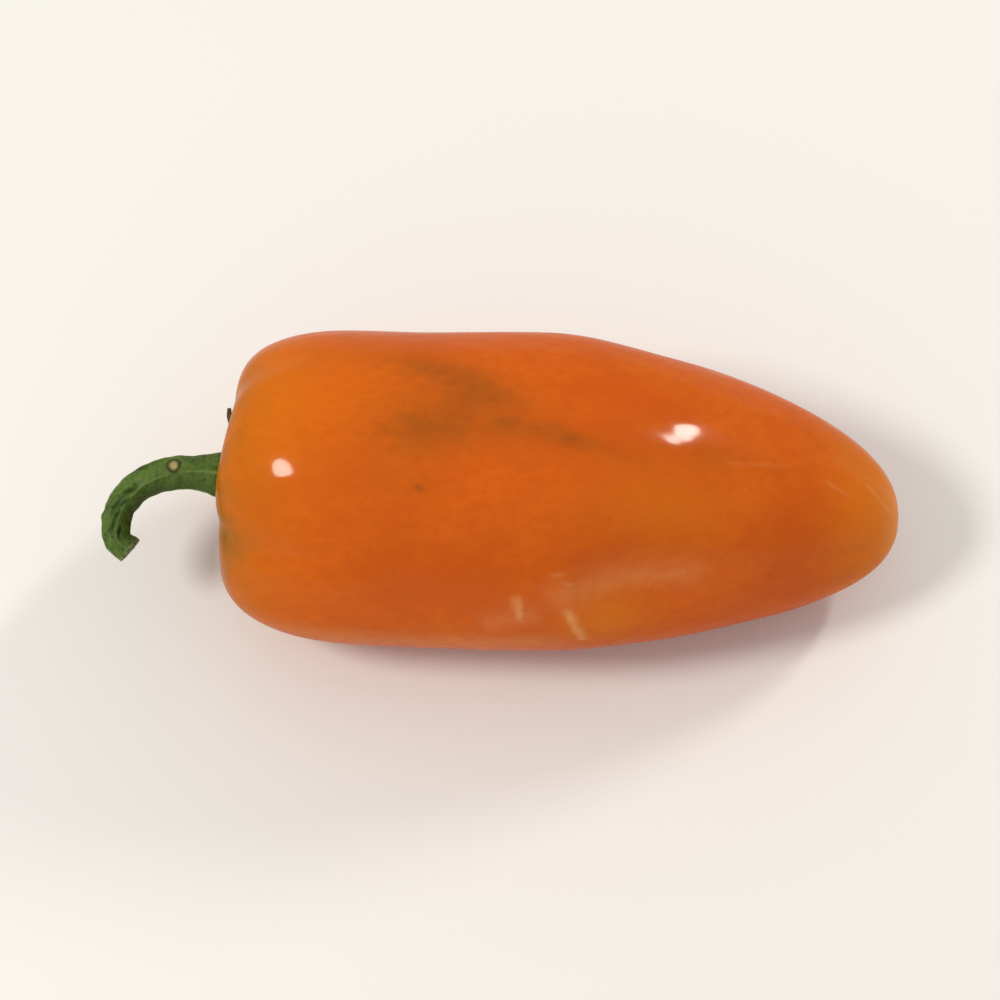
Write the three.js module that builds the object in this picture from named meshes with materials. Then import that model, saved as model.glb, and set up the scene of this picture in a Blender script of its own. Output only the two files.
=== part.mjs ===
// A mini sweet pepper as picked, lying on its side: the fruit, and the stem with its calyx.
//
// Millimetres, +Z up. +X runs from the stem end to the blossom tip, and -Y is the front.
// While it is shaped, the shoulder's crest is at X 0 and the surface it lies on is Z 0.
// The finished group is then moved, so that its origin is the middle of its box, on that surface.
import * as THREE from "three";

const { clamp, degToRad, lerp, smoothstep } = THREE.MathUtils;

// ---- Driving dimensions of the fruit ----
const FRUIT_LENGTH = 79.2; // shoulder crest to blossom tip
const BELLY_RADIUS = 18.5; // where it is fattest
const BELLY_AT = 34; // distance of the fattest section from the crest
const SHOULDER_LENGTH = 15; // over which the crest rounds out into the side
const SHOULDER_POWER = 2.35; // 2 would be a round shoulder, and more is squarer
const SHOULDER_SLACK = 0.02; // share by which the side is slimmer at the shoulder than at the belly
const CREST_RADIUS = 8.6; // ring where the shoulder turns in to the stem hollow
const HOLLOW_DEPTH = 4.6; // of the stem hollow, below the crest
const HOLLOW_POWER = 2.2; // over 1, its floor is broader and its wall steeper
const TAPER_FROM = 40; // distance from the crest
const TAPER_EASE = 0.12; // share of the taper over which it sets in
const TAPER_POWER = 1.2; // more keeps it fat for longer
const TIP_BLUNTNESS = 0.43; // 0.5 would be a round tip, and less is blunter

// ---- How it lies ----
const REST_HEIGHT = 17.45; // centreline above the surface, at the belly
const TIP_DROP = 7.0; // how much lower the tip is
const TIP_DROP_POWER = 1.75;
const FORWARD_BOW = 1.0; // how far the centreline bows to the front
const BOW_LENGTH = 26; // distance from the crest over which it bows

// ---- Lobes: three grooves run from crest to tip. Turns are in degrees, from the top to the front. ----
const GROOVES = [
  { atShoulder: -35, atTip: -14, strength: 0.75 },
  { atShoulder: 54, atTip: 63, strength: 1 },
  { atShoulder: 189, atTip: 185, strength: 1 },
];
const VALLEY_HALF_TURN = 30; // a groove is a wide valley with a narrow crease in it
const CREASE_HALF_TURN = 9;
const VALLEY_SHARE = { shoulder: 0.055, belly: 0.03, tip: 0.06 }; // of the radius
const CREASE_SHARE = { shoulder: 0.04, belly: 0, tip: 0.035 };
const CREASE_FADES_BY = 20; // from the crest
const CREASE_RETURNS_AT = 60;
const CREST_NOTCH = { valley: 0.3, crease: 0.25 }; // how much the crest is lower at a groove
const SET_BACK_LOBES = [
  // the crests of these two lobes stand further back than the front one's
  { turn: -65, halfTurn: 60, by: 2.2 },
  { turn: -8, halfTurn: 36, by: 0.75 },
  { turn: 90, halfTurn: 45, by: 0.75 },
];

// ---- Hollows pressed into the skin ----
const DENTS = [
  { at: 46, turn: 63, before: 5.5, after: 13, halfTurn: 15, depth: 1.25 },
  { at: 24, turn: -62, before: 8, after: 9, halfTurn: 24, depth: 0.4 },
];

// ---- Driving dimensions of the stem and calyx ----
const STEM_LEANS_FROM_TOP = 25; // the plane that the stem curls in is turned this far to the front
const STEM_LINE = [
  // along the fruit, and across it in the curl's plane
  [4.0, 0.6],
  [1.2, 0.9],
  [-1.9, 1.2],
  [-5.1, 1.15],
  [-8.3, 0.1],
  [-10.5, -2.0],
  [-11.4, -4.7],
  [-11.1, -6.5],
  [-9.7, -7.7],
];
const STEM_RADIUS = { base: 3.1, middle: 1.98, crook: 1.72, end: 1.6 };
const STEM_ANGLES = 5; // ridges along the stem
const STEM_RIDGE_SHARE = 0.05;
const CALYX_RADIUS = 5.3; // in the bays between its teeth
const CALYX_TEETH = [
  { turn: -48, reach: 9.3 }, // this one lies over the crest, in the notch between two lobes
  { turn: 27, reach: 6.7 },
  { turn: 96, reach: 6.3 },
  { turn: 170, reach: 7.0 },
  { turn: 243, reach: 6.6 },
];
const TOOTH_HALF_TURN = 17;
const CALYX_THICKNESS = 0.9;
const CALYX_EDGE = 0.45; // thickness near its margin
const SEAT_GAP = 0.42; // along X, between the calyx and the hollow that it sits in

// ---- Fineness of the faceted surfaces ----
const FRUIT_TURNS = 48;
const HOLLOW_STEPS = 10;
const SHOULDER_STEPS = 8;
const SIDE_STEPS = 24;
const STEM_TURNS = 30;
const STEM_STEPS = 20;
const CALYX_STEPS = 7;

// The share of a valley that is left at this many degrees from its middle line.
function bell(degrees, halfTurn) {
  const off = THREE.MathUtils.euclideanModulo(degrees + 180, 360) - 180;
  return Math.exp(-((off / halfTurn) ** 2));
}

// Share of the taper that is behind a point: it sets in gently, and is 1 at the tip.
function tapered(along) {
  const part = (along - TAPER_FROM) / (FRUIT_LENGTH - TAPER_FROM);
  const eased = (part + Math.hypot(part, TAPER_EASE)) / (1 + Math.hypot(1, TAPER_EASE));
  return Math.min(eased, 1) ** TAPER_POWER;
}

// Radius of the plain round fruit at a distance from the crest.
function plainRadius(along) {
  const before = Math.max(0, BELLY_AT - along) / (BELLY_AT - SHOULDER_LENGTH);
  const side = BELLY_RADIUS * (1 - SHOULDER_SLACK * before ** 2) * (1 - tapered(along)) ** TIP_BLUNTNESS;
  const inward = clamp(1 - along / SHOULDER_LENGTH, 0, 1);
  const rounded = (1 - inward ** SHOULDER_POWER) ** (1 / SHOULDER_POWER);
  return lerp(CREST_RADIUS, side, rounded);
}

// Depth of the stem hollow, as a distance along X, at a radius inside the crest.
function hollowDepth(radius) {
  const inside = Math.min(1, radius / CREST_RADIUS) ** HOLLOW_POWER;
  return (HOLLOW_DEPTH * (1 + Math.cos(Math.PI * inside))) / 2;
}

// Share of the crest's lobed shape at a radius in the hollow: none in the middle, level at the crest.
function hollowCrest(radius) {
  return 1 - (1 - Math.min(1, radius / CREST_RADIUS)) ** 2;
}

// A value that goes from the shoulder's to the belly's to the tip's.
function alongFruit(values, along, fadesBy, returnsAt) {
  const early = lerp(values.shoulder, values.belly, smoothstep(along, 0, fadesBy));
  return lerp(early, values.tip, smoothstep(along, returnsAt, FRUIT_LENGTH));
}

// How deep in the valleys and in the creases a point is, from 0 to 1.
function inGrooves(along, turn) {
  const way = clamp(along / FRUIT_LENGTH, 0, 1);
  let valley = 0;
  let crease = 0;
  for (const groove of GROOVES) {
    const off = turn - lerp(groove.atShoulder, groove.atTip, way);
    valley += groove.strength * bell(off, VALLEY_HALF_TURN);
    crease += groove.strength * bell(off, CREASE_HALF_TURN);
  }
  return { valley, crease };
}

function dentDepth(along, turn) {
  let depth = 0;
  for (const dent of DENTS) {
    const off = (along - dent.at) / (along < dent.at ? dent.before : dent.after);
    depth += dent.depth * Math.exp(-(off ** 2)) * bell(turn - dent.turn, dent.halfTurn);
  }
  return depth;
}

// Height and sideways place of the centreline.
function centreline(along) {
  const past = clamp((along - BELLY_AT) / (FRUIT_LENGTH - BELLY_AT), 0, 1);
  return {
    y: -FORWARD_BOW * (1 - Math.exp(-((Math.max(along, 0) / BOW_LENGTH) ** 2))),
    z: REST_HEIGHT - TIP_DROP * past ** TIP_DROP_POWER,
  };
}

// How much further along X the shoulder's lobed crest is than the plain one.
function crestShift(turn, share) {
  const { valley, crease } = inGrooves(0, turn);
  let shift = CREST_NOTCH.valley * valley + CREST_NOTCH.crease * crease;
  for (const lobe of SET_BACK_LOBES) shift += lobe.by * bell(turn - lobe.turn, lobe.halfTurn);
  return share * shift;
}

// The point of the fruit's skin for a point of its plain outline, at a turn about the centreline.
function skinPoint(along, radius, turn, crestShare) {
  const { valley, crease } = inGrooves(along, turn);
  const share =
    alongFruit(VALLEY_SHARE, along, CREASE_FADES_BY, BELLY_AT) * valley +
    alongFruit(CREASE_SHARE, along, CREASE_FADES_BY, CREASE_RETURNS_AT) * crease;
  const reach = Math.max(0, radius * (1 - share) - dentDepth(along, turn) * (radius / BELLY_RADIUS));
  const line = centreline(along);
  const angle = degToRad(turn);
  return new THREE.Vector3(
    along + crestShift(turn, crestShare),
    line.y - reach * Math.sin(angle),
    Math.max(0, line.z + reach * Math.cos(angle)), // pressed flat where it rests
  );
}

// The plain outline from the middle of the hollow to the tip. Each point has its distance along, its
// radius, and its share of the crest's lobed shape.
function fruitOutline() {
  const outline = [];
  for (let i = 0; i < HOLLOW_STEPS; i++) {
    const radius = (CREST_RADIUS * i) / HOLLOW_STEPS;
    outline.push({ along: hollowDepth(radius), radius, crest: hollowCrest(radius) });
  }
  for (let i = 0; i < SHOULDER_STEPS; i++) {
    const inward = Math.cos((Math.PI / 2) * (i / SHOULDER_STEPS)) ** (2 / SHOULDER_POWER);
    const along = SHOULDER_LENGTH * (1 - inward);
    outline.push({ along, radius: plainRadius(along), crest: inward ** 3 });
  }
  for (let i = 0; i <= SIDE_STEPS; i++) {
    const way = Math.sin((Math.PI / 2) * (i / SIDE_STEPS)); // closer together towards the tip
    const along = lerp(SHOULDER_LENGTH, FRUIT_LENGTH, way);
    outline.push({ along, radius: i === SIDE_STEPS ? 0 : plainRadius(along), crest: 0 });
  }
  return outline;
}

// Turns an outline into a closed skin, and puts each of its points where place() says.
function shapedLathe(outline, turns, place) {
  const profile = outline.map((_, row) => new THREE.Vector2(1, row));
  const lathe = new THREE.LatheGeometry(profile, turns);
  const position = lathe.attributes.position;
  for (let i = 0; i < position.count; i++) {
    const row = i % outline.length;
    const column = Math.floor(i / outline.length) % turns;
    const point = place(outline[row], (360 * column) / turns);
    position.setXYZ(i, point.x, point.y, point.z);
  }
  lathe.deleteAttribute("normal");
  lathe.computeVertexNormals();
  return lathe;
}

function fruitGeometry() {
  return shapedLathe(fruitOutline(), FRUIT_TURNS, (p, turn) => skinPoint(p.along, p.radius, turn, p.crest));
}

// The line of the stem, in space.
function stemCurve() {
  const lean = degToRad(STEM_LEANS_FROM_TOP);
  const up = new THREE.Vector3(0, Math.cos(lean), Math.sin(lean)); // to the back, and lifted
  const middle = centreline(0);
  const points = STEM_LINE.map(([x, across]) =>
    new THREE.Vector3(x, middle.y, middle.z).addScaledVector(up, across),
  );
  return new THREE.CatmullRomCurve3(points, false, "centripetal");
}

function stemRadius(way) {
  const upper = lerp(STEM_RADIUS.base, STEM_RADIUS.middle, smoothstep(way, 0.05, 0.3));
  const lower = lerp(upper, STEM_RADIUS.crook, smoothstep(way, 0.3, 0.75));
  return lerp(lower, STEM_RADIUS.end, smoothstep(way, 0.75, 1));
}

// Radius of the calyx's margin: teeth with rounded bays between them.
function calyxReach(turn) {
  return CALYX_TEETH.reduce(
    (radius, tooth) => radius + (tooth.reach - CALYX_RADIUS) * bell(turn - tooth.turn, TOOTH_HALF_TURN),
    CALYX_RADIUS,
  );
}

// A point of the calyx, laid on the hollow: share is its place from the middle to the margin.
function calyxPoint(share, turn, thickness) {
  const radius = share * calyxReach(turn);
  const seat = skinPoint(hollowDepth(radius), radius, turn, hollowCrest(radius));
  seat.x -= SEAT_GAP + thickness;
  return seat;
}

// Stem and calyx are one outline: from the stem's end along it, over the calyx, round its margin and
// under it.
function stemGeometry() {
  const curve = stemCurve();
  const lean = degToRad(STEM_LEANS_FROM_TOP);
  const outward = new THREE.Vector3(0, -Math.sin(lean), Math.cos(lean)); // square to the curl's plane
  const outline = [{ way: 1, closed: true }];
  for (let i = STEM_STEPS; i >= 2; i--) outline.push({ way: i / STEM_STEPS });
  for (let i = 3; i <= CALYX_STEPS; i++) {
    const share = i / CALYX_STEPS;
    outline.push({ share, thickness: lerp(CALYX_THICKNESS, CALYX_EDGE, share ** 2) });
  }
  for (let i = CALYX_STEPS; i >= 0; i--) outline.push({ share: i / CALYX_STEPS, thickness: 0 });
  return shapedLathe(outline, STEM_TURNS, (p, turn) => {
    if (p.way === undefined) return calyxPoint(p.share, turn, p.thickness);
    const middle = curve.getPointAt(p.way);
    const side = new THREE.Vector3().crossVectors(outward, curve.getTangentAt(p.way)).normalize();
    const angle = degToRad(turn - STEM_LEANS_FROM_TOP);
    const ridge = 1 + STEM_RIDGE_SHARE * Math.cos(STEM_ANGLES * degToRad(turn - CALYX_TEETH[0].turn));
    const reach = p.closed ? 0 : stemRadius(p.way) * ridge;
    return middle
      .addScaledVector(outward, reach * Math.cos(angle))
      .addScaledVector(side, reach * Math.sin(angle));
  });
}

function piece(name, geometry, colour, roughness) {
  const material = new THREE.MeshStandardMaterial({ color: colour, roughness, metalness: 0 });
  const mesh = new THREE.Mesh(geometry, material);
  mesh.name = name;
  return mesh;
}

const pepper = new THREE.Group();
pepper.add(piece("fruit", fruitGeometry(), 0xcd5f0e, 0.25));
pepper.add(piece("stem_with_calyx", stemGeometry(), 0x4f6a2c, 0.6));

const box = new THREE.Box3().setFromObject(pepper);
const middle = box.getCenter(new THREE.Vector3());
pepper.position.set(-middle.x, -middle.y, -box.min.z);

export default pepper;
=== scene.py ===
"""A mini sweet pepper on a pale floor: the glossy lobed fruit, and its hooked stem with the calyx.

Shapes are worked out in millimetres in the fruit's own frame: X runs along the fruit from the crest
of its shoulder, Z is up from the surface it lies on, and a turn is in degrees from the top towards
the front. They are moved into the CAD model's frame, in metres, when they become meshes.
"""

import logging
import math
from dataclasses import dataclass, field
from enum import Enum
from typing import Optional, Sequence, Union

import bpy
import numpy as np
from mathutils import Matrix, Vector


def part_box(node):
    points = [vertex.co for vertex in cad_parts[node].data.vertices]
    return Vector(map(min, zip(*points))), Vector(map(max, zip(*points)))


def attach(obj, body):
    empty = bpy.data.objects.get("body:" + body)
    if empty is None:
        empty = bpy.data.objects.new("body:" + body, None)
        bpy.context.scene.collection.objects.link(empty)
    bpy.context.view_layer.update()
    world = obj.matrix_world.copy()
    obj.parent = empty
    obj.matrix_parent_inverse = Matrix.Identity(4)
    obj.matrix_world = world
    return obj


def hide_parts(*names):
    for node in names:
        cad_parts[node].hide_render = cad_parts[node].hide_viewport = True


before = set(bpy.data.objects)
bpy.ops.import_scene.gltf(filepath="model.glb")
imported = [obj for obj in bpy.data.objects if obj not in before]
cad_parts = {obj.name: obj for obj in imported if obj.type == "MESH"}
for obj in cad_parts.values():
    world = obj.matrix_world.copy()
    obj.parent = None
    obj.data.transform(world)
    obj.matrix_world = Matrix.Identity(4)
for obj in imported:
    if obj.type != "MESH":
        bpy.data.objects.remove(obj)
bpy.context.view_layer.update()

LOG = logging.getLogger("pepper")
MM = 0.001
BODY = "root"

Array = np.ndarray
Colour = tuple[float, float, float]
Socket = bpy.types.NodeSocket
Value = Union[Socket, float, Colour]
Line = tuple[tuple[float, float], ...]


class Mask(Enum):
    """The surface masks that the meshes carry and the materials read."""

    BLOTCH = "blotch"
    GREEN = "green"
    RIPE = "ripe"
    PALE = "pale"
    VEINS_AND_HIGHLIGHTS = "veins_and_highlights"
    SCAR = "scar"
    SCAR_CORE = "scar_core"
    RIDGE = "ridge"
    SHADE = "shade"
    SPLIT = "split"
    CUT = "cut"
    CALYX = "calyx"
    DRY = "dry"


# ---------------------------------------------------------------------------------------------------
# Formulas shared by the shapes
# ---------------------------------------------------------------------------------------------------


def bell(off: Array, half: float) -> Array:
    """A soft hump over distance: exp(-(off / half) squared), which is 1 in its middle."""
    return np.exp(-((off / half) ** 2))


def turn_off(turn: Array, middle: Union[Array, float]) -> Array:
    """Signed degrees from a middle turn, from -180 to 180."""
    return (turn - middle + 180.0) % 360.0 - 180.0


def smoothstep(value: Array, low: float, high: float) -> Array:
    """0 below low, 1 above high, and 3t^2 - 2t^3 between them."""
    t = np.clip((value - low) / (high - low), 0.0, 1.0)
    return t * t * (3.0 - 2.0 * t)


def mixed(a: Union[Array, float], b: Union[Array, float], share: Array) -> Array:
    """a where share is 0 and b where it is 1."""
    return a + (b - a) * share


def waves(points: Array, length: float, seed: int, count: int = 14) -> Array:
    """Gentle unevenness in space, as a sum of plane waves in seeded random directions.

    Args:
        points: positions in millimetres, with x, y, z last.
        length: middle wavelength in millimetres.
        seed: seed of the directions, lengths and phases.
        count: number of waves.

    Returns:
        The sum at each point, with a spread of about 1.
    """
    rng = np.random.default_rng(seed)
    ways = rng.normal(size=(count, 3))
    ways /= np.linalg.norm(ways, axis=1, keepdims=True)
    pace = 2.0 * np.pi / (length * rng.uniform(0.7, 1.5, count))
    phase = rng.uniform(0.0, 2.0 * np.pi, count)
    return np.sin(points @ (ways * pace[:, None]).T + phase).sum(-1) * math.sqrt(2.0 / count)


def along_line(along: Array, turn: Array, line: Line, radius: float) -> tuple[Array, Array]:
    """Distance from a bent line that is drawn on the fruit's side.

    Args:
        along: distances from the crest.
        turn: turns about the centreline.
        line: the corners of the line, each a distance from the crest and a turn.
        radius: radius of the side near the line, to make millimetres of a turn.

    Returns:
        The distance from the line in millimetres, and the share of the line's length at the nearest point.
    """
    scale = np.array([1.0, math.radians(1.0) * radius])
    corners = np.array(line, float)
    place = np.stack([along, corners[0, 1] + turn_off(turn, corners[0, 1])], -1) * scale
    corners = corners * scale
    best = np.full(along.shape, np.inf)
    share = np.zeros(along.shape)
    steps = np.linalg.norm(np.diff(corners, axis=0), axis=1)
    starts = np.concatenate([[0.0], np.cumsum(steps)])
    for start, end, before, step in zip(corners[:-1], corners[1:], starts, steps):
        t = np.clip(((place - start) @ (end - start)) / step**2, 0.0, 1.0)
        gap = np.linalg.norm(place - (start + t[..., None] * (end - start)), axis=-1)
        nearer = gap < best
        best = np.where(nearer, gap, best)
        share = np.where(nearer, (before + t * step) / starts[-1], share)
    return best, share


def closed_grid(name: str, points: Array, masks: dict[Mask, Array]) -> bpy.types.Object:
    """Makes a closed mesh of rings of points, with a pole at each end.

    Args:
        name: name of the object and of its mesh.
        points: rings by places around by x, y, z, in metres. All of the first ring is one point, and so
            is all of the last.
        masks: a value for each point of the grid, kept on the mesh as attributes.

    Returns:
        The object, with smooth faces that point outwards.
    """
    rings, around = points.shape[:2]
    inner = rings - 2
    verts = np.concatenate([points[:1, 0], points[1:-1].reshape(-1, 3), points[-1:, 0]])
    ring = 1 + np.arange(inner * around).reshape(inner, around)
    after = np.roll(ring, -1, axis=1)
    quads = np.stack([ring[:-1], after[:-1], after[1:], ring[1:]], -1).reshape(-1, 4)
    last = len(verts) - 1
    start_fan = np.stack([np.zeros(around, int), after[0], ring[0]], -1)
    end_fan = np.stack([np.full(around, last), ring[-1], after[-1]], -1)
    corners = verts[np.concatenate([start_fan, end_fan, quads[:, :3], quads[:, [0, 2, 3]]])]
    volume = np.einsum("ij,ij->", corners[:, 0], np.cross(corners[:, 1], corners[:, 2]))
    flip = slice(None, None, -1 if volume < 0 else 1)
    faces = [*start_fan[:, flip].tolist(), *quads[:, flip].tolist(), *end_fan[:, flip].tolist()]
    mesh = bpy.data.meshes.new(name)
    mesh.from_pydata(verts.tolist(), [], faces)
    mesh.polygons.foreach_set("use_smooth", np.ones(len(faces), bool))
    for mask, grid in masks.items():
        values = np.concatenate([grid[:1, 0], grid[1:-1].ravel(), grid[-1:, 0]]).astype(np.float32)
        mesh.attributes.new(mask.value, "FLOAT", "POINT").data.foreach_set("value", values)
    mesh.validate()
    mesh.update()
    made = bpy.data.objects.new(name, mesh)
    bpy.context.collection.objects.link(made)
    return made


# ---------------------------------------------------------------------------------------------------
# Materials
# ---------------------------------------------------------------------------------------------------


class Nodes:
    """Places nodes in one tree, with the sockets named as they are in Blender."""

    def __init__(self, tree: bpy.types.NodeTree) -> None:
        """Keeps the tree that the nodes go into."""
        self.tree = tree

    def add(
        self, kind: str, inputs: Optional[dict[Union[str, int], Value]] = None, **settings: object
    ) -> bpy.types.Node:
        """Adds one node.

        Args:
            kind: the node's type name, without its "ShaderNode" start.
            inputs: input socket names or numbers, with the socket or the constant for each.
            settings: properties of the node itself.

        Returns:
            The node.
        """
        node = self.tree.nodes.new(kind if kind.startswith("Node") else "ShaderNode" + kind)
        for key, value in settings.items():
            setattr(node, key, value)
        for key, value in (inputs or {}).items():
            self.feed(node.inputs[key], value)
        return node

    def feed(self, socket: Socket, value: Value) -> None:
        """Links a socket to an input, or sets the input's constant.

        Args:
            socket: the input.
            value: another node's output, a number or a colour.
        """
        if isinstance(value, bpy.types.NodeSocket):
            self.tree.links.new(value, socket)
        elif isinstance(value, tuple) and socket.type == "RGBA":
            socket.default_value = (*value, 1.0)
        else:
            socket.default_value = value

    def math(self, operation: str, a: Value, b: Value = 0.0, clamp: bool = False) -> Socket:
        """The result of one sum on two numbers."""
        return self.add("Math", {0: a, 1: b}, operation=operation, use_clamp=clamp).outputs[0]

    def mix(self, share: Value, a: Value, b: Value, blend: str = "MIX") -> Socket:
        """Colour a where share is 0, and b blended over it where share is 1."""
        made = self.add("Mix", {0: share, 6: a, 7: b}, data_type="RGBA", blend_type=blend, clamp_factor=True)
        return made.outputs[2]

    def range(
        self, value: Value, low: float, high: float, to_low: float = 0.0, to_high: float = 1.0
    ) -> Socket:
        """A value taken smoothly from one range to another."""
        numbers = {0: value, 1: low, 2: high, 3: to_low, 4: to_high}
        return self.add("MapRange", numbers, interpolation_type="SMOOTHSTEP").outputs[0]

    def mask(self, mask: Mask) -> Socket:
        """The value of one of the mesh's own masks."""
        return self.add("Attribute", attribute_name=mask.value, attribute_type="GEOMETRY").outputs["Fac"]

    def place(self, scale: Colour = (1.0, 1.0, 1.0)) -> Socket:
        """Object coordinates, stretched by a scale along each axis."""
        spot = self.add("TexCoord").outputs["Object"]
        return self.add("Mapping", {"Vector": spot, "Scale": scale}).outputs[0]

    def noise(self, place: Socket, per_metre: Value, detail: float = 3.0, rough: float = 0.5) -> Socket:
        """Noise of about this many blobs in a metre, around 0.5."""
        inputs = {"Vector": place, "Scale": per_metre, "Detail": detail, "Roughness": rough}
        return self.add("TexNoise", inputs).outputs[0]

    def use(self, group: bpy.types.NodeTree, inputs: dict[str, Value]) -> Socket:
        """Places a node group, with its own values.

        Args:
            group: the node group.
            inputs: its input names, with the socket or the constant for each.

        Returns:
            Its output.
        """
        node = self.add("Group", node_tree=group)
        for key, value in inputs.items():
            self.feed(node.inputs[key], value)
        return node.outputs[0]

    def layered(self, colour: Value, layers: Sequence[tuple[Value, float, Colour]]) -> Socket:
        """Lays colours over one another, each by its mask times its share.

        Args:
            colour: the lowest colour.
            layers: the mask, the share and the colour of each layer, from the lowest up.

        Returns:
            The colour.
        """
        for mask, share, over in layers:
            colour = self.mix(self.math("MULTIPLY", mask, share), colour, over)
        return colour


@dataclass
class SharedEffects:
    """The node groups that both finishes use."""

    grain: bpy.types.NodeTree = field(init=False)
    drift: bpy.types.NodeTree = field(init=False)
    specks: bpy.types.NodeTree = field(init=False)

    def __post_init__(self) -> None:
        """Builds each group once."""
        self.grain = self.build_grain()
        self.drift = self.build_drift()
        self.specks = self.build_specks()

    @staticmethod
    def new_group(
        name: str, inputs: dict[str, str], output: str, kind: str
    ) -> tuple[Nodes, bpy.types.NodeOutputs, Socket]:
        """Makes an empty node group.

        Args:
            name: name of the group.
            inputs: name of each input, with the kind of its socket.
            output: name of the output.
            kind: kind of the output's socket.

        Returns:
            The placer of its nodes, its values by name, and the socket that it puts out.
        """
        tree = bpy.data.node_groups.new(name, "ShaderNodeTree")
        for label, of_kind in inputs.items():
            tree.interface.new_socket(label, in_out="INPUT", socket_type="NodeSocket" + of_kind)
        tree.interface.new_socket(output, in_out="OUTPUT", socket_type="NodeSocket" + kind)
        nodes = Nodes(tree)
        return nodes, nodes.add("NodeGroupInput").outputs, nodes.add("NodeGroupOutput").inputs[output]

    def build_grain(self) -> bpy.types.NodeTree:
        """Fine skin cells over soft unevenness, as a height from 0 to 1.

        Returns:
            The group. Cell is the number of cells in a metre, and Cells is their share of the height.
        """
        kinds = {"Place": "Vector", "Cell": "Float", "Soft": "Float", "Cells": "Float"}
        nodes, given, height = self.new_group("surface_grain", kinds, "Height", "Float")
        spots = {"Vector": given["Place"], "Scale": given["Cell"]}
        cells = nodes.add("TexVoronoi", spots, feature="SMOOTH_F1")
        soft = nodes.add("TexNoise", {"Vector": given["Place"], "Scale": given["Soft"], "Detail": 4.0})
        scaled = nodes.math("MULTIPLY", cells.outputs["Distance"], given["Cells"])
        nodes.feed(height, nodes.math("ADD", scaled, soft.outputs[0]))
        return nodes.tree

    def build_drift(self) -> bpy.types.NodeTree:
        """A colour that drifts towards another in broad soft patches.

        Returns:
            The group. Patches is their number in a metre, and Amount how far the colour drifts.
        """
        kinds = {"Place": "Vector", "Patches": "Float", "Amount": "Float"}
        kinds.update(Color="Color", Towards="Color")
        nodes, given, colour = self.new_group("colour_drift", kinds, "Color", "Color")
        patches = nodes.noise(given["Place"], given["Patches"], 4.0, 0.6)
        share = nodes.math("MULTIPLY", nodes.range(patches, 0.35, 0.68), given["Amount"])
        nodes.feed(colour, nodes.mix(share, given["Color"], given["Towards"]))
        return nodes.tree

    def build_specks(self) -> bpy.types.NodeTree:
        """Small separate specks.

        Returns:
            The group. Specks is the number of places for one in a metre, and Size its share of a place.
        """
        kinds = {"Place": "Vector", "Specks": "Float", "Size": "Float"}
        nodes, given, mask = self.new_group("specks", kinds, "Mask", "Float")
        spots = nodes.add("TexVoronoi", {"Vector": given["Place"], "Scale": given["Specks"]})
        inside = nodes.math("DIVIDE", spots.outputs["Distance"], given["Size"])
        chance = nodes.add("SeparateColor", {0: spots.outputs["Color"]}).outputs[0]
        chosen = nodes.range(chance, 0.55, 0.75)
        nodes.feed(mask, nodes.math("MULTIPLY", nodes.range(inside, 0.6, 1.0, 1.0, 0.0), chosen))
        return nodes.tree


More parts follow.
